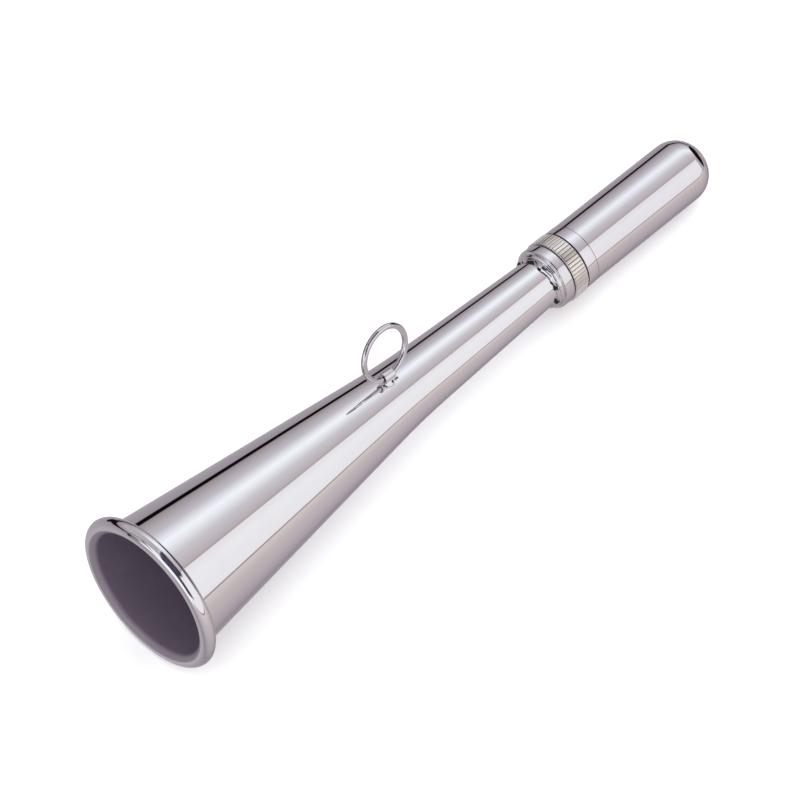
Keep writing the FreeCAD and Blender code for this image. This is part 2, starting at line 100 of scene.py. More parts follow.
class Bench:
    """A node tree to work on, with short ways to add and join nodes."""

    def __init__(self, tree: bpy.types.NodeTree) -> None:
        """Keeps the tree and empties it."""
        self.tree = tree
        tree.nodes.clear()

    def add(self, kind: str, settings: dict | None = None, **inputs: object) -> bpy.types.Node:
        """Adds a node.

        Args:
            kind: The node's type name.
            settings: Attributes of the node itself.
            **inputs: Socket values or sockets to link, with _ for a space; digits pick by place.

        Returns:
            The new node.
        """
        node = self.tree.nodes.new(kind)
        for name, value in (settings or {}).items():
            setattr(node, name, value)
        for name, value in inputs.items():
            key = int(name[1:]) if name[0] == "i" and name[1:].isdigit() else name.replace("_", " ")
            self.feed(node.inputs[key], value)
        return node

    def feed(self, socket: bpy.types.NodeSocket, value: object) -> None:
        """Links a socket to an output, or sets its value.

        Args:
            socket: The input socket.
            value: An output socket or a plain value.
        """
        if isinstance(value, bpy.types.NodeSocket):
            self.tree.links.new(value, socket)
        else:
            socket.default_value = value

    def place(self) -> bpy.types.NodeSocket:
        """The shaded point's place in its object; returns the output."""
        return self.add("ShaderNodeTexCoord").outputs["Object"]

    def noise(self, settings: dict | None = None, **inputs: object) -> bpy.types.NodeSocket:
        """A noise texture; returns its value."""
        return self.add("ShaderNodeTexNoise", settings, **inputs).outputs[0]

    def spread(self, value: object, low: float, high: float, top: float = 1.0) -> bpy.types.NodeSocket:
        """Maps low to 0 and high to top; returns its output."""
        return self.add("ShaderNodeMapRange", Value=value, From_Min=low, From_Max=high,
                        To_Max=top).outputs[0]

    def finish(self, kind: str, shader: bpy.types.Node) -> None:
        """Joins a shader to the tree's output node."""
        self.add(kind, Surface=shader.outputs[0])

    def math(self, operation: str, first: object, second: object = 0.0) -> bpy.types.NodeSocket:
        """One sum; returns its output."""
        return self.add("ShaderNodeMath", {"operation": operation}, i0=first, i1=second).outputs[0]

    def rise(self, value: object, low: float, high: float) -> bpy.types.NodeSocket:
        """A smooth step from 0 at low to 1 at high."""
        return self.add("ShaderNodeMapRange", {"interpolation_type": "SMOOTHSTEP"}, Value=value,
                        From_Min=low, From_Max=high).outputs[0]

    def window(self, value: object, low: float, high: float, soft: float) -> bpy.types.NodeSocket:
        """1 between low and high, with soft edges."""
        return self.math("MULTIPLY", self.rise(value, low - soft, low + soft),
                         self.math("SUBTRACT", 1.0, self.rise(value, high - soft, high + soft)))

    def blend(self, share: object, first: object, second: object) -> bpy.types.NodeSocket:
        """Mixes two colours.

        Args:
            share: How much of the second shows.
            first: A colour or a socket.
            second: A colour or a socket.

        Returns:
            The mixed colour's socket.
        """
        mix = self.add("ShaderNodeMix", {"data_type": "RGBA"}, i0=share)
        for place, colour in ((6, first), (7, second)):
            value = (*colour, 1) if isinstance(colour, tuple) else colour
            self.feed(mix.inputs[place], value)
        return mix.outputs[2]

    def ramp(self, factor: object, stops: list[tuple[float, Colour]]) -> bpy.types.NodeSocket:
        """Adds a colour ramp.

        Args:
            factor: What is looked up.
            stops: Places from 0 to 1, each with its colour.

        Returns:
            The ramp's colour socket.
        """
        node = self.add("ShaderNodeValToRGB", i0=factor)
        marks = node.color_ramp.elements
        for place, colour in stops[1:-1]:
            marks.new(place).color = (*colour, 1)
        marks[0].position, marks[0].color = stops[0][0], (*stops[0][1], 1)
        marks[-1].position, marks[-1].color = stops[-1][0], (*stops[-1][1], 1)
        return node.outputs[0]


def new_group(name: str, inputs: dict[str, float], outputs: list[str]) -> tuple[Bench, dict, bpy.types.Node]:
    """Makes a shader node group that puts out plain values.

    Args:
        name: The group's name.
        inputs: Value inputs with their defaults.
        outputs: Names of the value outputs.

    Returns:
        The bench to build it on, its input sockets by name, and its output node.
    """
    tree = bpy.data.node_groups.new(name, "ShaderNodeTree")
    for label, value in inputs.items():
        tree.interface.new_socket(label, in_out="INPUT", socket_type="NodeSocketFloat").default_value = value
    for label in outputs:
        tree.interface.new_socket(label, in_out="OUTPUT", socket_type="NodeSocketFloat")
    bench = Bench(tree)
    entry = bench.add("NodeGroupInput")
    leave = bench.add("NodeGroupOutput")
    return bench, {label: entry.outputs[label] for label in inputs}, leave


@dataclass(frozen=True)
class Stations:
    """The screwed joint's threads and washers, and where its pieces begin and end along the horn."""

    crest: float = 12.02
    root: float = 12.47
    pitch: float = 1.0
    washer_radius: float = 13.65
    floor: float = 0.9
    end_play: float = 0.4
    solder: float = 1.7
    boss: float = 1.7
    collar: float = 5.0
    washer: float = 0.4
    knurl: float = 7.5
    ferrule: float = 6.0
    seam: float = 0.2
    neck_end: float = 221.3
    boss_front: float = neck_end + solder
    collar_front: float = boss_front + boss
    collar_back: float = collar_front + collar
    knurl_front: float = collar_back + washer
    knurl_back: float = knurl_front + knurl
    ferrule_front: float = knurl_back + washer
    ferrule_back: float = ferrule_front + ferrule
    tube_front: float = ferrule_back + seam


class HornAxes:
    """Where the horn lies: its axes in the row frame, read from the record's mounts and joints."""

    def __init__(self, record: dict, knurl_front: float) -> None:
        """Works out the axes.

        Args:
            record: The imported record.
            knurl_front: The station of the knurled ring's front face, in millimetres.
        """
        joints = {joint["name"]: joint for joint in record["behaviour"]["joints"]}
        mounts = {mount["name"]: mount for mount in record["mounts"]}
        turn = joints["carrier_turn"]
        self.axis = Vector(turn["axis"]).normalized()
        self.side = Vector((0, 1, 0))
        self.up = self.axis.cross(self.side).normalized()
        self.origin = Vector(turn["pos_m"]) - self.axis * knurl_front * MM
        self.swing = Vector(joints["ring_swing"]["pos_m"])
        self.swing_axis = Vector(joints["ring_swing"]["axis"]).normalized()
        self.ring_centre = Vector(mounts["hanging_ring"]["pos_m"])
        self.ring_axis = Vector(mounts["hanging_ring"]["axis"]).normalized()

    def matrix(self) -> Matrix:
        """Horn axes in millimetres to the row frame in metres."""
        return placing(self.origin, self.axis, self.side, self.up)

    def tilt(self) -> float:
        """How far the axis points below level, in radians."""
        return math.asin(-self.axis.z)


def placing(origin: Vector, along: Vector, side: Vector, up: Vector) -> Matrix:
    """Works out a matrix from millimetres along three axes to the row frame in metres.

    Args:
        origin: Where the axes meet.
        along: The first axis.
        side: The second axis.
        up: The third axis.

    Returns:
        The matrix.
    """
    turn = Matrix((along, side, up)).transposed().to_4x4()
    return Matrix.Translation(origin) @ turn @ Matrix.Scale(MM, 4)


class Groups:
    """The effects that several finishes share, each built once."""

    def __init__(self, axes: HornAxes) -> None:
        """Builds the groups.

        Args:
            axes: Where the horn lies.
        """
        self.axes = axes
        self.spinning = self.build_spinning()
        self.handling = self.build_handling()
        self.hammering = self.build_hammering()
        self.mouth = self.build_mouth()

    def build_mouth(self) -> bpy.types.NodeTree:
        """How near a point is to the front of the rim: 1 at the front, 0 inside the bell.

        Returns:
            The group.
        """
        bench, inputs, leave = new_group("mouth_nearness", {"Reach": -0.0004}, ["Nearness"])
        place = bench.place()
        shifted = bench.add("ShaderNodeVectorMath", {"operation": "SUBTRACT"}, i0=place, i1=self.axes.origin)
        along = bench.add("ShaderNodeVectorMath", {"operation": "DOT_PRODUCT"}, i0=shifted.outputs[0],
                          i1=self.axes.axis).outputs["Value"]
        nearness = bench.add("ShaderNodeMapRange", {"interpolation_type": "SMOOTHERSTEP"}, Value=along,
                             From_Min=inputs["Reach"], From_Max=-0.0022)
        bench.feed(leave.inputs["Nearness"], nearness.outputs[0])
        return bench.tree

    def build_spinning(self) -> bpy.types.NodeTree:
        """Faint rings left by the spinning lathe: a height that changes along the axis only.

        Returns:
            The group.
        """
        bench, inputs, leave = new_group("spinning_rings", {"Rings per metre": 900.0}, ["Height"])
        place = bench.place()
        turned = bench.add("ShaderNodeMapping", {"vector_type": "TEXTURE"}, Vector=place,
                           Rotation=(0.0, self.axes.tilt(), 0.0))
        along = bench.add("ShaderNodeSeparateXYZ", Vector=turned.outputs[0]).outputs["X"]
        rings = bench.noise({"noise_dimensions": "1D"}, W=along, Scale=inputs["Rings per metre"],
                            Detail=2.0, Roughness=0.5)
        bench.feed(leave.inputs["Height"], rings)
        return bench.tree

    def build_handling(self) -> bpy.types.NodeTree:
        """Wipe marks and fine scratches: a roughness and a height.

        Returns:
            The group.
        """
        bench, inputs, leave = new_group(
            "handling_marks", {"Base roughness": 0.04, "Smudge": 0.05, "Scratches": 0.03},
            ["Roughness", "Height"])
        place = bench.place()
        smudge = bench.noise(Vector=place, Scale=55.0, Detail=3.0, Distortion=0.6)
        soft = bench.spread(smudge, 0.52, 0.78)
        stretched = bench.add("ShaderNodeMapping", Vector=place, Rotation=(0.4, 0.1, 0.6),
                              Scale=(260.0, 2600.0, 1800.0))
        hair = bench.noise(Vector=stretched.outputs[0], Scale=1.0, Detail=1.0)
        fine = bench.spread(hair, 0.66, 0.74)
        total = bench.math("ADD", bench.math("MULTIPLY", soft, inputs["Smudge"]),
                           bench.math("MULTIPLY", fine, inputs["Scratches"]))
        bench.feed(leave.inputs["Roughness"], bench.math("ADD", inputs["Base roughness"], total))
        bench.feed(leave.inputs["Height"], bench.math("MULTIPLY", fine, -1.0))
        return bench.tree

    def build_hammering(self) -> bpy.types.NodeTree:
        """The slow unevenness of hand-finished sheet, longer along the horn than round it.

        Returns:
            The group.
        """
        bench, inputs, leave = new_group("sheet_waviness", {"Scale": 30.0}, ["Height"])
        squeezed = bench.add("ShaderNodeMapping", Vector=bench.place(), Scale=(0.45, 1.0, 1.0))
        swell = bench.noise(Vector=squeezed.outputs[0], Scale=inputs["Scale"], Detail=1.0)
        bench.feed(leave.inputs["Height"], swell)
        return bench.tree


# ---------------------------------------------------------------- finishes

@dataclass(frozen=True)
class Finish:
    """A metal or matt finish and how worn it is."""

    name: str
    colour: Colour
    metallic: float = 1.0
    roughness: float = 0.04
    smudge: float = 0.05
    scratches: float = 0.03
    ring_height: float = 0.0
    rings_per_metre: float = 900.0
    wave_height: float = 0.0
    wave_scale: float = 30.0
    grain_height: float = 0.0
    grain_scale: float = 900.0
    tarnish: float = 0.06
    tarnish_colour: Colour = (0.35, 0.28, 0.24)
    lip_painted_light: Colour | None = None

    def material(self, groups: Groups) -> bpy.types.Material:
        """Builds the material.

        Args:
            groups: The shared effects.

        Returns:
            The finished material.
        """
        made = bpy.data.materials.get(self.name)
        if made:
            return made
        made = bpy.data.materials.new(self.name)
        made.use_nodes = True
        bench = Bench(made.node_tree)
        marks = bench.add("ShaderNodeGroup", {"node_tree": groups.handling}, Base_roughness=self.roughness,
                          Smudge=self.smudge, Scratches=self.scratches)
        shader = bench.add("ShaderNodeBsdfPrincipled", Metallic=self.metallic,
                           Roughness=marks.outputs["Roughness"], Base_Color=self.tint(bench, groups))
        normal = self.relief(bench, groups, marks.outputs["Height"])
        bench.feed(shader.inputs["Normal"], normal)
        bench.finish("ShaderNodeOutputMaterial", shader)
        return made

    def tint(self, bench: Bench, groups: Groups) -> bpy.types.NodeSocket:
        """The colour, with a little tarnish in patches, and a lighter colour at the lip if it has one:
        painted light, where more light falls into the mouth.

        Args:
            bench: The material's bench.
            groups: The shared effects.

        Returns:
            The colour's socket.
        """
        cloud = bench.noise(Vector=bench.place(), Scale=90.0, Detail=4.0, Roughness=0.6)
        patch = bench.spread(cloud, 0.5, 0.8, self.tarnish)
        colour = bench.blend(patch, self.colour, self.tarnish_colour)
        if self.lip_painted_light is None:
            return colour
        # Painted light: the lip colour is laid on near the mouth, where more light reaches the inside.
        lip = bench.add("ShaderNodeGroup", {"node_tree": groups.mouth})
        return bench.blend(lip.outputs["Nearness"], colour, self.lip_painted_light)

    def relief(self, bench: Bench, groups: Groups, scratches: bpy.types.NodeSocket) -> bpy.types.NodeSocket:
        """The normal, after scratches, lathe rings, waviness and grain.

        Args:
            bench: The material's bench.
            groups: The shared effects.
            scratches: The scratches' height.

        Returns:
            The normal's socket.
        """
        layers = [(scratches, SCRATCH_DEPTH)]
        if self.ring_height:
            rings = bench.add("ShaderNodeGroup", {"node_tree": groups.spinning},
                              Rings_per_metre=self.rings_per_metre)
            layers.append((rings.outputs[0], self.ring_height))
        if self.wave_height:
            waves = bench.add("ShaderNodeGroup", {"node_tree": groups.hammering}, Scale=self.wave_scale)
            layers.append((waves.outputs[0], self.wave_height))
        if self.grain_height:
            grain = bench.noise(Vector=bench.place(), Scale=self.grain_scale, Detail=3.0)
            layers.append((grain, self.grain_height))
        normal = None
        for height, depth in layers:
            below = {} if normal is None else {"Normal": normal}
            normal = bench.add("ShaderNodeBump", Height=height, Distance=depth * MM, **below).outputs[0]
        return normal


CHROME_TINT = (0.93, 0.925, 0.93)
CHROME = Finish("bell_chrome", CHROME_TINT, roughness=0.02, smudge=0.03, scratches=0.03,
                ring_height=0.0004, wave_height=0.05, wave_scale=28.0, tarnish=0.03)
RIM_CHROME = Finish("rim_chrome", CHROME_TINT, roughness=0.03, smudge=0.05, scratches=0.05,
                    wave_height=0.05, wave_scale=90.0, tarnish=0.05)
TUBE_CHROME = Finish("tube_chrome", (0.90, 0.885, 0.90), roughness=0.03, smudge=0.03, scratches=0.04,
                     ring_height=0.0003, wave_height=0.02, tarnish=0.03)
COLLAR_CHROME = Finish("collar_chrome", (0.88, 0.87, 0.885), roughness=0.06, smudge=0.06, scratches=0.06,
                       ring_height=0.0012, rings_per_metre=4000.0, wave_height=0.03, wave_scale=120.0)
RING_CHROME = Finish("ring_wire_chrome", (0.80, 0.78, 0.80), roughness=0.03, smudge=0.04, scratches=0.06,
                     wave_height=0.03, wave_scale=160.0, tarnish=0.05)
SOLDER = Finish("plated_solder", (0.90, 0.89, 0.90), roughness=0.05, smudge=0.08, wave_height=0.10,
                wave_scale=150.0, tarnish=0.1)
KNURL = Finish("finger_ring_nickel", (0.93, 0.90, 0.85), roughness=0.24, smudge=0.1, scratches=0.08,
               grain_height=0.004, grain_scale=3000.0, tarnish=0.15, tarnish_colour=(0.5, 0.38, 0.22))
KNURL_GROOVE = Finish("knurl_groove", (0.60, 0.51, 0.41), roughness=0.45, smudge=0.1, grain_height=0.004,
                      grain_scale=3000.0, tarnish=0.5, tarnish_colour=(0.2, 0.14, 0.1))
# Near-black painted shade: dark lines in the neck solder bead's hollows and strips at the edges beside the
# rear washer.
JOINT_SHADE = Finish("joint_painted_shade", (0.012, 0.009, 0.010), metallic=0.0, roughness=0.75, smudge=0.1,
                    grain_height=0.01, grain_scale=2500.0, tarnish=0.2, tarnish_colour=(0.04, 0.03, 0.03))
SEAM = Finish("dull_seam", (0.30, 0.25, 0.25), roughness=0.3, smudge=0.1, wave_height=0.05,
              wave_scale=400.0, tarnish=0.3, tarnish_colour=(0.12, 0.09, 0.08))
# The dull inside; its lip colour is painted light, lighter towards the mouth where more light falls into the
# bell.
BELL_INSIDE = Finish("bell_inside", (0.168, 0.131, 0.182), metallic=0.35, roughness=0.42, smudge=0.12,
                     ring_height=0.01, rings_per_metre=700.0, grain_height=0.008, tarnish=0.3,
                     tarnish_colour=(0.24, 0.20, 0.26), lip_painted_light=(0.225, 0.19, 0.23))
WASHER = Finish("dark_fibre", (0.018, 0.014, 0.016), metallic=0.0, roughness=0.7, grain_height=0.03,
                grain_scale=2500.0, tarnish=0.2, tarnish_colour=(0.05, 0.04, 0.04))
BRASS = Finish("turned_brass", (0.80, 0.60, 0.30), roughness=0.22, ring_height=0.004,
               rings_per_metre=3000.0, tarnish=0.25)
BRONZE = Finish("reed_bronze", (0.83, 0.55, 0.32), roughness=0.18, scratches=0.12, tarnish=0.3)
STEEL = Finish("plain_steel", (0.58, 0.57, 0.57), roughness=0.25, scratches=0.1, tarnish=0.15)


# ---------------------------------------------------------------- outlines and meshes

def arc(centre: Point, radius: float, start: float, end: float, count: int) -> list[Point]:
    """Points of an arc.

    Args:
        centre: The arc's centre.
        radius: The arc's radius.
        start: First angle in degrees, from the x axis towards r.
        end: Last angle in degrees.
        count: How many steps it has.

    Returns:
        The points, from start to end.
    """
    angles = [math.radians(start + (end - start) * step / count) for step in range(count + 1)]
    return [(centre[0] + radius * math.cos(a), centre[1] + radius * math.sin(a)) for a in angles]


def run(start: Point, end: Point, count: int) -> list[Point]:
    """Evenly spaced points of a straight stretch, without its last one."""
    return [(start[0] + (end[0] - start[0]) * step / count, start[1] + (end[1] - start[1]) * step / count)
            for step in range(count)]


def rounded(corners: list[Point], radius: float, count: int = 5) -> list[Point]:
    """Rounds every corner of a closed outline.

    Args:
        corners: The sharp corners in order.
        radius: How far the rounding starts from a corner, at most.
        count: Steps in each rounding.

    Returns:
        The rounded outline.
    """
    made: list[Point] = []
    for place, corner in enumerate(corners):
        here = Vector(corner)
        before = Vector(corners[place - 1]) - here
        after = Vector(corners[(place + 1) % len(corners)]) - here
        cut = min(radius, before.length * 0.45, after.length * 0.45)
        first = here + before.normalized() * cut
        last = here + after.normalized() * cut
        for step in range(count + 1):
            share = step / count
            point = first * (1 - share) ** 2 + here * 2 * share * (1 - share) + last * share ** 2
            made.append((point.x, point.y))
    return made


class Mesher:
    """Builds one piece with bmesh operators, in millimetres."""

    def __init__(self) -> None:
        """Starts an empty mesh."""
        self.bm = bmesh.new()

    def turned(self, outline: list[Point], steps: int, closed: bool = True, climb: float = 0.0,
               turns: int = 1) -> None:
        """Spins an outline round the x axis.

        Args:
            outline: Points as x and r.
            steps: Steps of a turn.
            closed: Whether the outline is joined end to start.
            climb: How far it moves along x in a turn.
            turns: How many turns it makes.
        """
        verts = [self.bm.verts.new((x, 0, r)) for x, r in outline]
        pairs = list(zip(verts, verts[1:])) + ([(verts[-1], verts[0])] if closed else [])
        edges = [self.bm.edges.new(pair) for pair in pairs]
        bmesh.ops.spin(self.bm, geom=verts + edges, cent=(0, 0, 0), axis=(1, 0, 0),
                       dvec=(climb / steps, 0, 0), angle=FULL_TURN * turns, steps=steps * turns,
                       use_merge=climb == 0, use_duplicate=False)

    def helix(self, start: float, root: float, crest: float, pitch: float, turns: int, steps: int) -> None:
        """Winds one thread ridge round the x axis.

        Args:
            start: Station of its first edge.
            root: Radius of its foot.
            crest: Radius of its top.
            pitch: How far it climbs in a turn.
            turns: How many turns it makes.
            steps: Steps in each turn.
        """
        flat = 0.12 * pitch
        points = [(start, root), (start + pitch / 2 - flat, crest), (start + pitch / 2 + flat, crest),
                  (start + pitch, root)]
        self.turned(points, steps, False, pitch, turns)

    def tidy(self, sharp_deg: float = 32.0) -> None:
        """Merges doubles, turns the faces outwards and marks the sharp edges.

        Args:
            sharp_deg: The angle between two faces from which their edge is sharp.
        """
        bmesh.ops.remove_doubles(self.bm, verts=self.bm.verts, dist=0.0005)
        bmesh.ops.recalc_face_normals(self.bm, faces=self.bm.faces)
        for face in self.bm.faces:
            face.smooth = True
        for edge in self.bm.edges:
            edge.smooth = edge.calc_face_angle(0.0) < math.radians(sharp_deg)

    def to_object(self, name: str, matrix: Matrix) -> bpy.types.Object:
        """Puts the mesh in the row frame and makes its object, at the origin.

        Args:
            name: The object's name.
            matrix: From the mesh's millimetres to the row frame.

        Returns:
            The object.
        """
        self.tidy()
        bmesh.ops.transform(self.bm, matrix=matrix, verts=self.bm.verts)
        mesh = bpy.data.meshes.new(name)
        self.bm.to_mesh(mesh)
        self.bm.free()
        made = bpy.data.objects.new(name, mesh)
        bpy.context.scene.collection.objects.link(made)
        return made


class Body(Enum):
    """The record's bodies."""

    HORN = "horn"
    HANG_RING = "hang_ring"
    FRONT_WASHER = "front_washer"
    REED_UNIT = "reed_unit"
    REAR_WASHER = "rear_washer"
    MOUTHPIECE = "mouthpiece"


class Slot(Enum):
    """The record's material slots."""

    POLISHED_CHROME = "polished_chrome"
    RING_CHROME = "ring_chrome"
    SOLDER = "solder"
    KNURLED_NICKEL = "knurled_nickel"
    REED_BRASS = "reed_brass"
    WASHER_FIBRE = "washer_fibre"


@dataclass
class Workshop:
    """What every sub-assembly needs: where the horn lies, and the shared effects."""

    axes: HornAxes
    groups: Groups
    stations: Stations

    def piece(self, mesher: Mesher, name: str, finishes: list[Finish], body: Body, slot: Slot,
              replaces: list[str], matrix: Matrix | None = None) -> bpy.types.Object:
        """Finishes a piece: its object, materials, body and the nodes it stands for.

        Args:
            mesher: The mesh.
            name: The piece's name.
            finishes: One finish per material index.
            body: The body it rides on.
            slot: The record's slot; not used.
            replaces: The nodes that it stands for.
            matrix: Its place, or None for the horn's axes.

        Returns:
            The object.
        """
        made = mesher.to_object(name, matrix or self.axes.matrix())
        for finish in finishes:
            made.data.materials.append(finish.material(self.groups))
        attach(made, body.value)
        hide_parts(*replaces)
        LOG.info("%s: %d faces, rides on %s", name, len(made.data.polygons), body.value)
        return made


# ---------------------------------------------------------------- sub-assemblies

@dataclass
class Bell:
    """The spun sheet: cone, bend, neck and the curl round the rim wire."""

    shop: Workshop
    sheet: float = 0.7
    mouth_radius: float = 30.2
    knee: Point = (140.3, 14.3)
    knee_bend: float = 400.0
    neck: Point = (221.3, 10.8)
    end: float = 225.3
    bead_radius: float = 3.2
    rim_outset: float = 1.7
    curl_end_deg: float = -30.0
    lip_reach: float = 12.0
    lip_end_deg: float = 165.0
    steps: int = 288

    def side(self, depth: float) -> list[Point]:
        """The outline from the sheet's end to the rim.

        Args:
            depth: How far under the outside it lies.

        Returns:
            The outline's points.
        """
        mouth, knee, neck = Vector((0, self.mouth_radius)), Vector(self.knee), Vector(self.neck)
        cone, slim = (knee - mouth).normalized(), (neck - knee).normalized()
        cone_out, slim_out = Vector((-cone.y, cone.x)), Vector((-slim.y, slim.x))
        reach = self.knee_bend * math.tan(cone.angle(slim) / 2)
        centre = knee - cone * reach + cone_out * self.knee_bend
        start_deg = math.degrees(math.atan2(-slim_out.y, -slim_out.x))
        end_deg = math.degrees(math.atan2(-cone_out.y, -cone_out.x))
        last = neck - slim_out * depth
        last += slim * ((self.end - last.x) / slim.x)
        bend = arc(tuple(centre), self.knee_bend + depth, start_deg, end_deg, 14)
        rim = self.rim_meeting(mouth - cone_out * depth, cone, self.bead_radius - self.sheet)
        if depth:
            lip = mouth - cone_out * depth + cone * self.lip_reach
            rolled = (0.0, self.mouth_radius + self.rim_outset - self.bead_radius)
            ending = run(bend[-1], tuple(lip), 18) + run(tuple(lip), rolled, 6) + [rolled]
        else:
            ending = run(bend[-1], rim, 18) + [rim]
        return run(tuple(last), bend[0], 10) + bend[:-1] + ending

    def rim_meeting(self, foot: Vector, cone: Vector, radius: float) -> Point:
        """Where the cone's line runs into a circle round the rim wire's centre.

        Args:
            foot: A point on the line.
            cone: The line's direction, away from the mouth.
            radius: The circle's radius.

        Returns:
            The meeting point.
        """
        centre = Vector((0, self.mouth_radius + self.rim_outset))
        along = (centre - foot).dot(cone)
        across = (centre - foot - cone * along).length
        meeting = foot + cone * (along + math.sqrt(radius ** 2 - across ** 2))
        return meeting.x, meeting.y

    def curl(self, start: Point, radius: float) -> list[Point]:
        """The way round the rim wire.

        Args:
            start: Where it leaves the cone.
            radius: Its radius round the wire's centre.

        Returns:
            Its points, without the first.
        """
        centre = (0.0, self.mouth_radius + self.rim_outset)
        start_deg = math.degrees(math.atan2(start[1] - centre[1], start[0]))
        return arc(centre, radius, start_deg, self.curl_end_deg - 360, 56)[1:]

    def build(self) -> None:
        """Builds the bell, bright outside and dull inside."""
        outside, inside = self.side(0.0), self.side(self.sheet)
        outer = outside + self.curl(outside[-1], self.bead_radius - self.sheet)
        inner = inside + self.curl(inside[-1], self.bead_radius)
        mesher = Mesher()
        mesher.turned(outer + inner[::-1], self.steps)
        mesher.tidy()
        for face in mesher.bm.faces:
            face.material_index = self.finish_of(face, outside[-1][0])
        self.shop.piece(mesher, "bell_sheet", [CHROME, BELL_INSIDE, RIM_CHROME], Body.HORN,
                        Slot.POLISHED_CHROME, ["bell"])

    def finish_of(self, face: bmesh.types.BMFace, rim_start: float) -> int:
        """Picks the finish that a face takes.

        Args:
            face: The face.
            rim_start: The station where the bead leaves the cone.

        Returns:
            0 outside, 1 inside and on the lip, 2 on the bead.
        """
        middle = face.calc_center_median()
        outward = Vector((0, middle.y, middle.z))
        facing_in = face.normal.dot(outward.normalized()) < 0
        if middle.x > rim_start:
            return 1 if facing_in else 0
        height = outward.length - self.mouth_radius - self.rim_outset
        on_lip = facing_in and math.degrees(math.atan2(-height, middle.x)) < self.lip_end_deg
        return 1 if on_lip and height < 0 else 2


@dataclass
class HangingRing:
    """The wire ring."""

    shop: Workshop
    mean_radius: float = 11.7
    wire_radius: float = 1.3
    steps: int = 192

    def build(self) -> None:
        """Spins the wire's section round the ring's own axis."""
        axes = self.shop.axes
        mesher = Mesher()
        mesher.turned(arc((0.0, self.mean_radius), self.wire_radius, 0, 360, 32)[:-1], self.steps)
        side = axes.ring_axis.cross(axes.swing_axis).normalized()
        matrix = placing(axes.ring_centre, axes.ring_axis, axes.swing_axis, side)
        self.shop.piece(mesher, "hanging_ring", [RING_CHROME], Body.HANG_RING, Slot.RING_CHROME,
                        ["hang_ring"], matrix)


@dataclass
class RingLug:
    """The barrel that holds the ring, its foot and the solder round it."""

    shop: Workshop
    length: float = 5.4
    radius: float = 2.5
    bore: float = 1.83
    height: float = 3.3
    barrel_round: float = 0.3
    foot: Point = (3.4, 2.4)
    foot_gap: float = 0.25
    foot_sink: float = 0.6
    foot_round: float = 0.35
    bell_radius: float = 15.09
    solder_radius: float = 3.5
    solder_top: float = 1.6
    solder_height: float = 1.4
    solder_sink: float = 0.6
    solder_shares: tuple[float, ...] = (0.2, 0.4, 0.6, 0.75, 0.9, 1.0)
    solder_spread: Point = (1.12, 0.9)
    lump_share: float = 0.16

    def matrix(self) -> Matrix:
        """Axes at the foot: x along the barrel, z out of the bell.

        Returns:
            The matrix from those axes in millimetres to the row frame.
        """
        axes = self.shop.axes
        along = axes.swing_axis
        out = along.cross(axes.side).normalized()
        return placing(axes.swing - out * self.height * MM, along, out.cross(along), out)

    def build(self) -> None:
        """Builds the lug and its solder."""
        self.build_barrel()
        self.build_solder()

    def build_barrel(self) -> None:
        """The bored barrel with rounded rims, on a foot with rounded edges."""
        half = self.length / 2
        mesher = Mesher()
        mesher.turned(rounded([(-half, self.bore), (half, self.bore), (half, self.radius),
                               (-half, self.radius)], self.barrel_round), 64)
        bmesh.ops.translate(mesher.bm, vec=(0, 0, self.height), verts=mesher.bm.verts)
        top = self.height - self.bore - self.foot_gap
        cube = bmesh.ops.create_cube(mesher.bm, size=1.0)["verts"]
        bmesh.ops.scale(mesher.bm, vec=(*self.foot, top + self.foot_sink), verts=cube)
        bmesh.ops.translate(mesher.bm, vec=(0, 0, (top - self.foot_sink) / 2), verts=cube)
        edges = {edge for vert in cube for edge in vert.link_edges}
        bmesh.ops.bevel(mesher.bm, geom=list(edges), offset=self.foot_round, segments=3, profile=0.5,
                        affect="EDGES", material=-1)
        self.shop.piece(mesher, "ring_barrel", [COLLAR_CHROME], Body.HORN, Slot.POLISHED_CHROME,
                        ["ring_lug"], self.matrix())

    def build_solder(self) -> None:
        """A hollow-sided mound of solder that hugs the bell."""
        mesher = Mesher()
        rise = self.solder_height
        outline = [(-self.solder_sink, self.solder_radius + 0.1), (0.0, self.solder_radius)]
        outline += [(rise * share ** 2, self.solder_radius + (self.solder_top - self.solder_radius) * share)
                    for share in self.solder_shares]
        outline += [(rise, 0.02)]
        mesher.turned(outline, 72, closed=False)
        bmesh.ops.rotate(mesher.bm, cent=(0, 0, 0), matrix=Matrix.Rotation(-math.pi / 2, 3, "Y"),
                         verts=mesher.bm.verts)
        for vert in mesher.bm.verts:
            lump = 1 + self.lump_share * noise.noise(Vector((vert.co.x * 0.5, vert.co.y * 0.5, 3.1)))
            vert.co.x *= self.solder_spread[0] * lump
            vert.co.y *= self.solder_spread[1] * lump
            vert.co.z *= 1 + 0.2 * noise.noise(Vector((vert.co.x, vert.co.y, 8.7)))
            vert.co.z -= vert.co.y ** 2 / (2 * self.bell_radius)
        self.shop.piece(mesher, "lug_solder_mound", [SOLDER], Body.HORN, Slot.SOLDER, ["lug_solder"],
                        self.matrix())


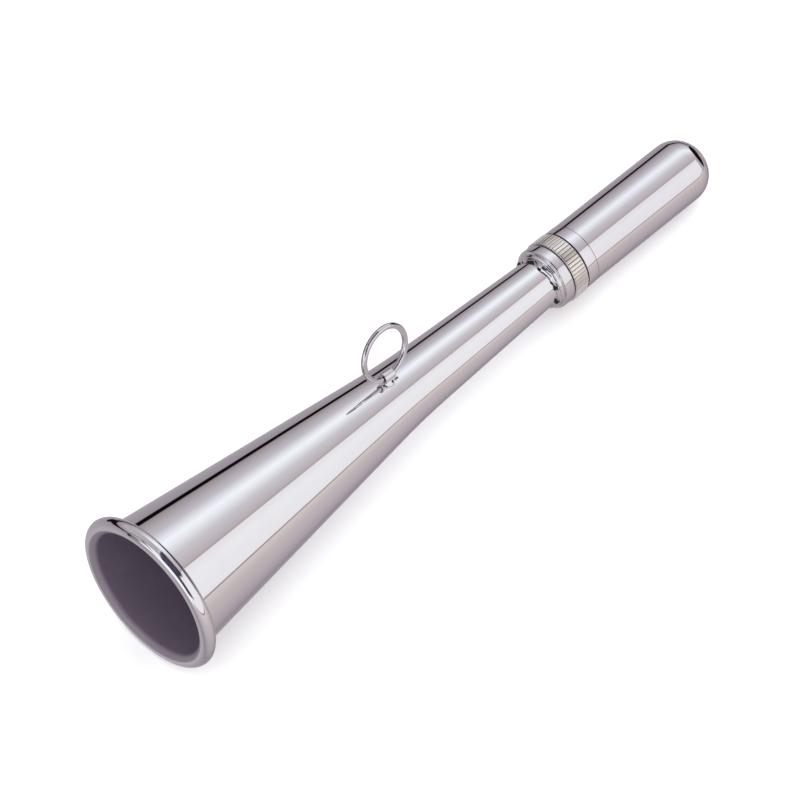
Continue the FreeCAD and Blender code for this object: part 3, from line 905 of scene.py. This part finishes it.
@dataclass
class Collar:
    """The collar on the neck, its solder and the washer behind it."""

    shop: Workshop
    boss_radius: float = 12.4
    radius: float = 14.0
    neck_slope: float = 0.0432
    neck_radius: float = 10.8
    corner_round: float = 0.7
    bead_form: tuple[Point, ...] = (
        (0.0, 0.0), (0.05, 0.5), (0.14, 0.95), (0.26, 1.2), (0.38, 1.15), (0.47, 0.85), (0.54, 0.7),
        (0.62, 0.85), (0.72, 1.2), (0.84, 1.35), (0.94, 1.25), (1.0, 0.9))
    bead_sink: float = 0.3
    bead_wander: float = 0.75
    bead_lumps: float = 0.32
    dark_lines: tuple[Point, ...] = ((-0.2, 0.07), (0.44, 0.60), (0.90, 1.3))

    def build(self) -> None:
        """Builds the collar, the solder bead and the washer."""
        self.build_collar()
        self.build_solder()
        build_washer(self.shop, "front_seal", self.shop.stations.collar_back, "front_washer",
                     Body.FRONT_WASHER)

    def neck(self, station: float) -> float:
        """The neck's outer radius at a station."""
        return self.neck_radius - self.neck_slope * (station - self.shop.stations.neck_end)

    def build_collar(self) -> None:
        """A stepped ring with a threaded socket."""
        at = self.shop.stations
        socket = at.collar_front + at.floor
        outline = rounded([
            (at.boss_front, self.neck(at.boss_front)), (at.boss_front, self.boss_radius),
            (at.collar_front, self.boss_radius), (at.collar_front, self.radius),
            (at.collar_back, self.radius), (at.collar_back, at.root), (socket, at.root),
            (socket, self.neck(socket))], self.corner_round)
        mesher = Mesher()
        mesher.turned(outline, 192)
        mesher.helix(socket, at.root, at.crest, at.pitch, 3, 96)
        self.shop.piece(mesher, "neck_collar_ring", [COLLAR_CHROME], Body.HORN, Slot.POLISHED_CHROME,
                        ["neck_collar"])

    def build_solder(self) -> None:
        """An uneven bead of solder between the neck and the boss."""
        at = self.shop.stations
        mesher = Mesher()
        over = at.boss_front + 0.2
        outline = [(at.neck_end - self.bead_sink, self.neck_radius - 0.25)]
        outline += [(at.neck_end + at.solder * share, self.neck_radius + height)
                    for share, height in self.bead_form]
        outline += [(over, self.neck_radius + 0.9), (over, self.neck_radius - 0.4)]
        mesher.turned(outline, 288)
        self.darken_bead(mesher)
        self.roughen_bead(mesher)
        self.shop.piece(mesher, "neck_solder_bead", [SOLDER, JOINT_SHADE], Body.HORN, Slot.SOLDER,
                        ["neck_solder"])

    def darken_bead(self, mesher: Mesher) -> None:
        """Lays broken lines of near-black painted shade in the bead's hollows.

        Args:
            mesher: The bead's mesh, still even.
        """
        at = self.shop.stations
        for face in mesher.bm.faces:
            middle = face.calc_center_median()
            share = (middle.x - at.neck_end) / at.solder
            around = Vector((0, middle.y, middle.z)).normalized()
            width = 0.5 + 0.9 * noise.noise(around * 5.0 + Vector((9.1, share, 0)))
            face.material_index = int(any(low < share < low + (high - low) * width * 2
                                          for low, high in self.dark_lines))

    def roughen_bead(self, mesher: Mesher) -> None:
        """Lets the bead's edge wander along the neck and its top rise and fall.

        Args:
            mesher: The bead's mesh.
        """
        at = self.shop.stations
        for vert in mesher.bm.verts:
            outward = Vector((0, vert.co.y, vert.co.z))
            around = outward.normalized()
            share = max(0.0, 1 - (vert.co.x - at.neck_end) / at.solder)
            wander = noise.noise(around * 2.6 + Vector((4.2, 0, 0)))
            wander += 0.45 * noise.noise(around * 6.0 + Vector((1.7, 0, 0)))
            lump = noise.noise(Vector((vert.co.x * 0.6, around.y * 3.4, around.z * 3.4)))
            lump += 0.35 * noise.noise(Vector((vert.co.x * 0.9, around.y * 8.0, around.z * 8.0)))
            vert.co.x += min(1.0, 2.2 * share) * self.bead_wander * wander
            if outward.length > self.neck_radius + 0.05:
                vert.co += around * self.bead_lumps * lump


def build_washer(shop: Workshop, name: str, start: float, node: str, body: Body) -> None:
    """A fibre washer with soft edges.

    Args:
        shop: The workshop.
        name: The piece's name.
        start: Station of its front face.
        node: The node that it stands for.
        body: The body that it rides on.
    """
    outer, inner = shop.stations.washer_radius, shop.stations.crest
    end = start + shop.stations.washer
    mesher = Mesher()
    mesher.turned(rounded([(start, inner), (end, inner), (end, outer), (start, outer)], WASHER_ROUND, 3), 160)
    shop.piece(mesher, name, [WASHER], body, Slot.WASHER_FIBRE, [node])


@dataclass
class ReedCarrier:
    """The knurled finger ring and its two threaded spigots."""

    shop: Workshop
    radius: float = 14.5
    ridges: int = 54
    depth: float = 0.42
    thread: float = 11.95
    thread_root: float = 11.5
    bore: float = 6.0
    rib_form: tuple[float, ...] = (0, 0, 0, 0, 0, 0, 0, 0.7, 1.0, 0.7)
    edge_form: tuple[Point, ...] = ((0.0, 0.42), (0.1, 0.22), (0.35, 0.03), (0.6, 0.0))
    rib_start: float = 0.35
    spigot_round: float = 0.2

    def build(self) -> None:
        """Builds the finger ring and the spigots."""
        self.build_knurl()
        self.build_spigots()

    def build_knurl(self) -> None:
        """A ring with straight flat-topped ribs, made loop by loop."""
        at = self.shop.stations
        edge = [(along, self.radius - down, min(1.0, along / self.rib_start))
                for along, down in self.edge_form]
        sections = [(at.knurl_front, self.thread_root, 0.0)]
        sections += [(at.knurl_front + along, radius, share) for along, radius, share in edge]
        sections += [(at.knurl_back - along, radius, share) for along, radius, share in edge[::-1]]
        sections += [(at.knurl_back, self.thread_root, 0.0)]
        mesher = Mesher()
        count = self.ridges * len(self.rib_form)
        loop = bmesh.ops.create_circle(mesher.bm, segments=count, radius=1.0)["verts"]
        for place, section in enumerate(sections):
            if place:
                edges = [edge for edge in mesher.bm.edges if edge.is_wire] if place == 1 else rim
                grown = bmesh.ops.extrude_edge_only(mesher.bm, edges=edges)["geom"]
                loop = [item for item in grown if isinstance(item, bmesh.types.BMVert)]
                fresh = set(loop)
                rim = [item for item in grown if isinstance(item, bmesh.types.BMEdge)
                       and fresh.issuperset(item.verts)]
            self.lay_loop(loop, section, count, place == 0)
        # Faces at the back edge take near-black painted shade beside the rear washer; faces sunk in the
        # grooves take the darker groove finish.
        first, last = at.knurl_front + SHADE_STRIP_WIDTH, at.knurl_back - SHADE_STRIP_WIDTH
        for face in mesher.bm.faces:
            sunk = [self.radius - math.hypot(vert.co.y, vert.co.z) for vert in face.verts]
            middle = face.calc_center_median().x
            in_groove = first < middle < last and sum(sunk) > 3 * self.depth
            face.material_index = 2 if middle > last else int(in_groove)
        self.shop.piece(mesher, "knurled_finger_ring", [KNURL, KNURL_GROOVE, JOINT_SHADE], Body.REED_UNIT,
                        Slot.KNURLED_NICKEL, ["reed_carrier"])

    def lay_loop(self, loop: list[bmesh.types.BMVert], section: tuple[float, float, float], count: int,
                 flat: bool) -> None:
        """Puts one loop of vertices at its station and radius, with its share of the ribs.

        Args:
            loop: The vertices.
            section: Station, radius and share of the ribs' depth.
            count: Vertices in a loop.
            flat: Whether the loop still lies in the plane where it was made.
        """
        station, radius, share = section
        for vert in loop:
            angle = math.atan2(vert.co.y, vert.co.x) if flat else math.atan2(vert.co.z, vert.co.y)
            place = round(angle / FULL_TURN * count) % count
            form = self.rib_form[place % len(self.rib_form)]
            reach = radius - self.depth * share * form
            vert.co = (station, reach * math.cos(angle), reach * math.sin(angle))

    def build_spigots(self) -> None:
        """The turned core with a thread on each side of the finger ring."""
        at = self.shop.stations
        front = at.collar_front + at.floor + at.end_play
        back = at.ferrule_back - at.end_play
        corners = [(front, self.bore), (back, self.bore), (back, self.thread_root), (front, self.thread_root)]
        mesher = Mesher()
        mesher.turned(rounded(corners, self.spigot_round, 3), 160)
        mesher.helix(front + 0.1, self.thread_root, self.thread, at.pitch, 3, 96)
        mesher.helix(at.knurl_back + 0.4, self.thread_root, self.thread, at.pitch, 4, 96)
        self.shop.piece(mesher, "carrier_spigots", [BRASS], Body.REED_UNIT, Slot.REED_BRASS, ["reed_carrier"])


@dataclass
class Mouthpiece:
    """The ferrule and the drawn cup that it is soldered to."""

    shop: Workshop
    radius: float = 14.15
    spigot: float = 4.2
    tube_radius: float = 14.0
    sheet: float = 0.7
    seam_depth: float = 0.25
    band_round: float = 0.24
    seam_round: float = 0.06
    tube_length: float = 64.2
    knuckle: float = 12.6
    crown: float = 18.0
    hole: float = 4.5

    def build(self) -> None:
        """Builds the washer, the ferrule, its solder line and the cup."""
        build_washer(self.shop, "rear_seal", self.shop.stations.knurl_back, "rear_washer",
                     Body.REAR_WASHER)
        self.build_ferrule()
        self.build_solder()
        self.build_cup()

    def build_ferrule(self) -> None:
        """The plain band with its thread and its spigot."""
        at = self.shop.stations
        front, back = at.ferrule_front, at.ferrule_back
        inside = self.tube_radius - self.sheet
        outline = rounded([
            (front, at.root), (front, self.radius), (back, self.radius), (back, inside),
            (back + self.spigot, inside), (back + self.spigot, at.root)], self.band_round)
        mesher = Mesher()
        mesher.turned(outline, 224)
        mesher.helix(front, at.root, at.crest, at.pitch, 5, 96)
        # Faces at the front edge take near-black painted shade beside the rear washer.
        for face in mesher.bm.faces:
            face.material_index = int(face.calc_center_median().x < front + SHADE_STRIP_WIDTH)
        self.shop.piece(mesher, "ferrule_band", [TUBE_CHROME, JOINT_SHADE], Body.MOUTHPIECE,
                        Slot.POLISHED_CHROME, ["mouthpiece_ferrule"])

    def build_solder(self) -> None:
        """The thin solder line between the band and the cup."""
        mesher = Mesher()
        start, end = self.shop.stations.ferrule_back, self.shop.stations.tube_front
        inside, top = self.tube_radius - self.sheet, self.tube_radius - self.seam_depth
        corners = [(start, inside), (end, inside), (end, top), (start, top)]
        mesher.turned(rounded(corners, self.seam_round, 3), 224)
        self.shop.piece(mesher, "ferrule_solder_line", [SEAM], Body.MOUTHPIECE, Slot.SOLDER,
                        ["ferrule_solder"])

    def build_cup(self) -> None:
        """The straight tube, its rounded end and the blow hole."""
        start = self.shop.stations.tube_front
        knuckle = (start + self.tube_length, self.tube_radius - self.knuckle)
        crown_x = knuckle[0] - math.sqrt((self.crown - self.knuckle) ** 2 - knuckle[1] ** 2)
        meeting = math.degrees(math.atan2(knuckle[1], knuckle[0] - crown_x))
        sides = []
        for depth in (0.0, self.sheet):
            radius = self.crown - depth
            hole = math.degrees(math.asin(self.hole / radius))
            side = run((start, self.tube_radius - depth), (knuckle[0], self.tube_radius - depth), 24)
            side += arc(knuckle, self.knuckle - depth, 90, meeting, 24)
            side += arc((crown_x, 0.0), radius, meeting, hole, 10)[1:]
            sides.append(side)
        mesher = Mesher()
        mesher.turned(sides[0] + sides[1][::-1], 256)
        self.shop.piece(mesher, "mouthpiece_cup", [TUBE_CHROME], Body.MOUTHPIECE, Slot.POLISHED_CHROME,
                        ["mouthpiece_tube"])


VELVET = (0.006, 0.004, 0.006)
HIDDEN_PARTS = {
    "rim_wire": STEEL, "shallot": BRASS, "shallot_plug": BRASS, "reed_bed": BRASS, "reed_root": BRONZE,
    "reed_tongue": BRONZE, "reed_clamp": BRASS, "clamp_screws": STEEL,
}


def dress_hidden_parts(groups: Groups) -> None:
    """Gives the nodes that keep their own shape their materials.

    Args:
        groups: The shared effects.
    """
    for node, finish in HIDDEN_PARTS.items():
        mesh = frame["nodes"][node].data
        mesh.materials.clear()
        mesh.materials.append(finish.material(groups))
        LOG.info("%s: finished as %s", node, finish.name)


# ---------------------------------------------------------------- studio

@dataclass
class Studio:
    """A pale floor, a tent of long panels round the horn, soft lights and the camera."""

    axes: HornAxes
    azimuth_deg: float = -45.06
    elevation_deg: float = 54.75
    roll_deg: float = 1.26
    distance: float = 1.7143
    lens: float = 191.4
    aim_offset: Vector = field(default_factory=lambda: Vector((-0.01961, -0.00184, -0.01043)))
    floor_size: float = 6.0
    lamp_size: float = 2.6
    lamps: tuple[tuple[str, tuple[float, float, float], float], ...] = (
        ("soft_key", (-1.0, -0.9, 1.9), 10.0), ("soft_fill", (1.2, 0.9, 1.7), 8.0),
        ("soft_side", (1.1, -1.3, 1.5), 10.0))

    def build(self) -> None:
        """Sets up everything round the horn."""
        bpy.context.scene.view_settings.view_transform = "Standard"
        self.build_world()
        self.build_floor()
        self.build_lights()
        self.build_camera()

    def panels(self) -> list[tuple[float, Colour]]:
        """The tent seen from the horn: angles round its axis from the top, towards the far side.

        Returns:
            Shares of the turn, each with its linear colour.
        """
        stops = [
            (-180, (150, 141, 150)), (-171, (146, 136, 146)), (-155, (164, 155, 163)),
            (-131, (182, 171, 176)), (-112, (190, 180, 182)), (-94, (208, 198, 198)),
            (-93.0, (152, 134, 132)), (-91.4, (152, 134, 132)), (-90.4, (229, 228, 231)),
            (-50, (233, 233, 238)), (-32.4, (226, 224, 227)), (-31.5, (158, 142, 140)),
            (-30, (158, 144, 144)), (-29.2, (180, 171, 175)), (-5, (200, 196, 203)),
            (13, (231, 234, 240)), (22, (240, 244, 250)), (32, (222, 223, 231)),
            (45, (190, 186, 195)), (75, (153, 143, 146)), (78.2, (146, 136, 140)),
            (79.0, (10, 7, 10)), (89.4, (10, 7, 10)), (90.2, (150, 142, 150)),
            (120, (163, 155, 164)), (150, (175, 168, 176)), (180, (150, 141, 150)),
        ]
        return [((angle + 180) / 360, linear(*colour)) for angle, colour in stops]

    def build_world(self) -> None:
        """Mirrors see the tent, the camera sees plain white."""
        world = bpy.data.worlds.new("studio_tent")
        bpy.context.scene.world = world
        world.use_nodes = True
        bench = Bench(world.node_tree)
        way = bench.add("ShaderNodeTexCoord").outputs["Generated"]
        turned = bench.add("ShaderNodeVectorRotate", {"rotation_type": "Y_AXIS"}, Vector=way,
                           Angle=-self.axes.tilt())
        parts = bench.add("ShaderNodeSeparateXYZ", Vector=turned.outputs[0])
        along = parts.outputs["X"]
        angle = bench.math("DEGREES", bench.math("ARCTAN2", parts.outputs["Y"], parts.outputs["Z"]))
        bend = bench.math("MULTIPLY", bench.rise(along, 0.62, 0.9), bench.rise(angle, 20.0, 60.0))
        bent = bench.math("SUBTRACT", angle, bench.math("MULTIPLY", bend, 14.0))
        place = bench.math("FRACT", bench.math("ADD", bench.math("DIVIDE", bent, 360.0), 0.5))
        tent = self.tent_ends(bench, self.two_ramps(bench, place), turned.outputs[0], along, angle)
        ray = bench.add("ShaderNodeLightPath")
        even = bench.blend(ray.outputs["Is Diffuse Ray"], tent, (1.32, 1.32, 1.33))
        seen = bench.blend(ray.outputs["Is Camera Ray"], even, (1.0, 1.0, 1.0))
        light = bench.add("ShaderNodeBackground", Color=seen, Strength=1.08)
        bench.finish("ShaderNodeOutputWorld", light)

    def tent_ends(self, bench: Bench, tent: bpy.types.NodeSocket, way: bpy.types.NodeSocket,
                  along: bpy.types.NodeSocket, angle: bpy.types.NodeSocket) -> bpy.types.NodeSocket:
        """Adds what stands at the tent's two ends: dark gaps, a white window and a dark doorway.

        Each panel has its first and last share along the horn, its first and last angle round it,
        how soft its edges are, and its colour.

        Args:
            bench: The world's bench.
            tent: The tent's colour so far.
            way: The direction.
            along: The direction's share along the horn.
            angle: The direction's angle round the horn, in degrees.

        Returns:
            The colour with the ends.
        """
        grain = bench.noise(Vector=way, Scale=9.0, Detail=1.0)
        doorway = bench.ramp(grain, [(0.3, linear(42, 38, 54)), (0.7, linear(84, 80, 100))])
        panels = [
            (0.93, 2.0, -125, 95, 0.006, VELVET),
            (0.84, 0.93, -108, -33, 0.006, linear(172, 165, 172)),
            (-0.62, 0.30, 6, 66, 0.02, linear(176, 169, 177)),
            (-0.1, 0.38, 79, 98, 0.01, VELVET),
            (-0.84, 0.34, -36, 4, 0.03, doorway),
            (-0.84, -0.46, -72, -34, 0.03, doorway),
            (-0.63, -0.58, 5, 66, 0.006, linear(36, 30, 40)),
            (-0.80, -0.765, 88, 142, 0.006, linear(50, 44, 50)),
            (-2.0, -0.86, -112, 86, 0.01, linear(247, 249, 255)),
            (-0.95, -0.66, 38, 45, 0.006, linear(20, 16, 20)),
        ]
        for low, high, first, last, soft, colour in panels:
            mask = bench.math("MULTIPLY", bench.window(along, low, high, soft),
                              bench.window(angle, first, last, soft * 90))
            tent = bench.blend(mask, tent, colour)
        return tent

    def two_ramps(self, bench: Bench, place: bpy.types.NodeSocket) -> bpy.types.NodeSocket:
        """One ramp for each half of the turn, because a ramp holds few marks.

        Args:
            bench: The world's bench.
            place: The angle as a share of the turn.

        Returns:
            The tent's colour.
        """
        stops = self.panels()
        half = len(stops) // 2
        split = stops[half][0]
        near = bench.ramp(place, stops[:half + 1])
        far = bench.ramp(place, stops[half:])
        choice = bench.math("GREATER_THAN", place, split)
        return bench.add("ShaderNodeMix", {"data_type": "RGBA"}, Factor=choice, i6=near, i7=far).outputs[2]

    def build_floor(self) -> None:
        """A pale matt floor at the height that the horn rests on."""
        mesher = Mesher()
        bmesh.ops.create_grid(mesher.bm, x_segments=2, y_segments=2, size=self.floor_size / 2 / MM)
        floor = mesher.to_object("floor", Matrix.Scale(MM, 4))
        floor.data.materials.append(self.floor_material())
        floor.visible_glossy = False
        floor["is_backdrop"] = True

    def floor_material(self) -> bpy.types.Material:
        """White card with the faintest mottling.

        Returns:
            The material.
        """
        made = bpy.data.materials.new("pale_card")
        made.use_nodes = True
        bench = Bench(made.node_tree)
        mottle = bench.noise(Vector=bench.place(), Scale=14.0, Detail=5.0)
        shade = bench.ramp(mottle, [(0.3, (0.93, 0.93, 0.93)), (0.7, (0.95, 0.95, 0.95))])
        shader = bench.add("ShaderNodeBsdfPrincipled", Base_Color=shade, Roughness=0.9)
        bench.finish("ShaderNodeOutputMaterial", shader)
        return made

    def build_lights(self) -> None:
        """Broad soft lights that keep the floor white; mirrors don't see them."""
        for name, where, power in self.lamps:
            light = bpy.data.lights.new(name, "AREA")
            light.size = self.lamp_size
            light.energy = power
            lamp = bpy.data.objects.new(name, light)
            bpy.context.scene.collection.objects.link(lamp)
            lamp.location = where
            lamp.rotation_euler = (-Vector(where)).to_track_quat("-Z", "Y").to_euler()
            lamp.visible_glossy = False
            lamp.visible_camera = False

    def build_camera(self) -> None:
        """The camera, far off with a long lens."""
        low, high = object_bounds()
        aim = (Vector(low) + Vector(high)) / 2 + self.aim_offset
        azimuth, elevation = math.radians(self.azimuth_deg), math.radians(self.elevation_deg)
        back = Vector((math.sin(azimuth) * math.cos(elevation), -math.cos(azimuth) * math.cos(elevation),
                       math.sin(elevation)))
        camera = bpy.data.objects.new("camera", bpy.data.cameras.new("camera"))
        bpy.context.scene.collection.objects.link(camera)
        camera.data.lens = self.lens
        camera.data.clip_end = 20.0
        camera.location = aim + back * self.distance
        turn = back.to_track_quat("Z", "Y") @ Matrix.Rotation(
            math.radians(-self.roll_deg), 3, "Z").to_quaternion()
        camera.rotation_euler = turn.to_euler()
        bpy.context.scene.camera = camera


def main() -> None:
    """Builds the horn's pieces in order, then the studio."""
    logging.basicConfig(level=logging.INFO, format="%(name)s: %(message)s")
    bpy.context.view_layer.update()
    stations = Stations()
    axes = HornAxes(frame["record"], stations.knurl_front)
    shop = Workshop(axes, Groups(axes), stations)
    for assembly in (Bell(shop), HangingRing(shop), RingLug(shop), Collar(shop), ReedCarrier(shop),
                     Mouthpiece(shop)):
        assembly.build()
    dress_hidden_parts(shop.groups)
    Studio(axes).build()


if __name__ == "__main__":
    main()
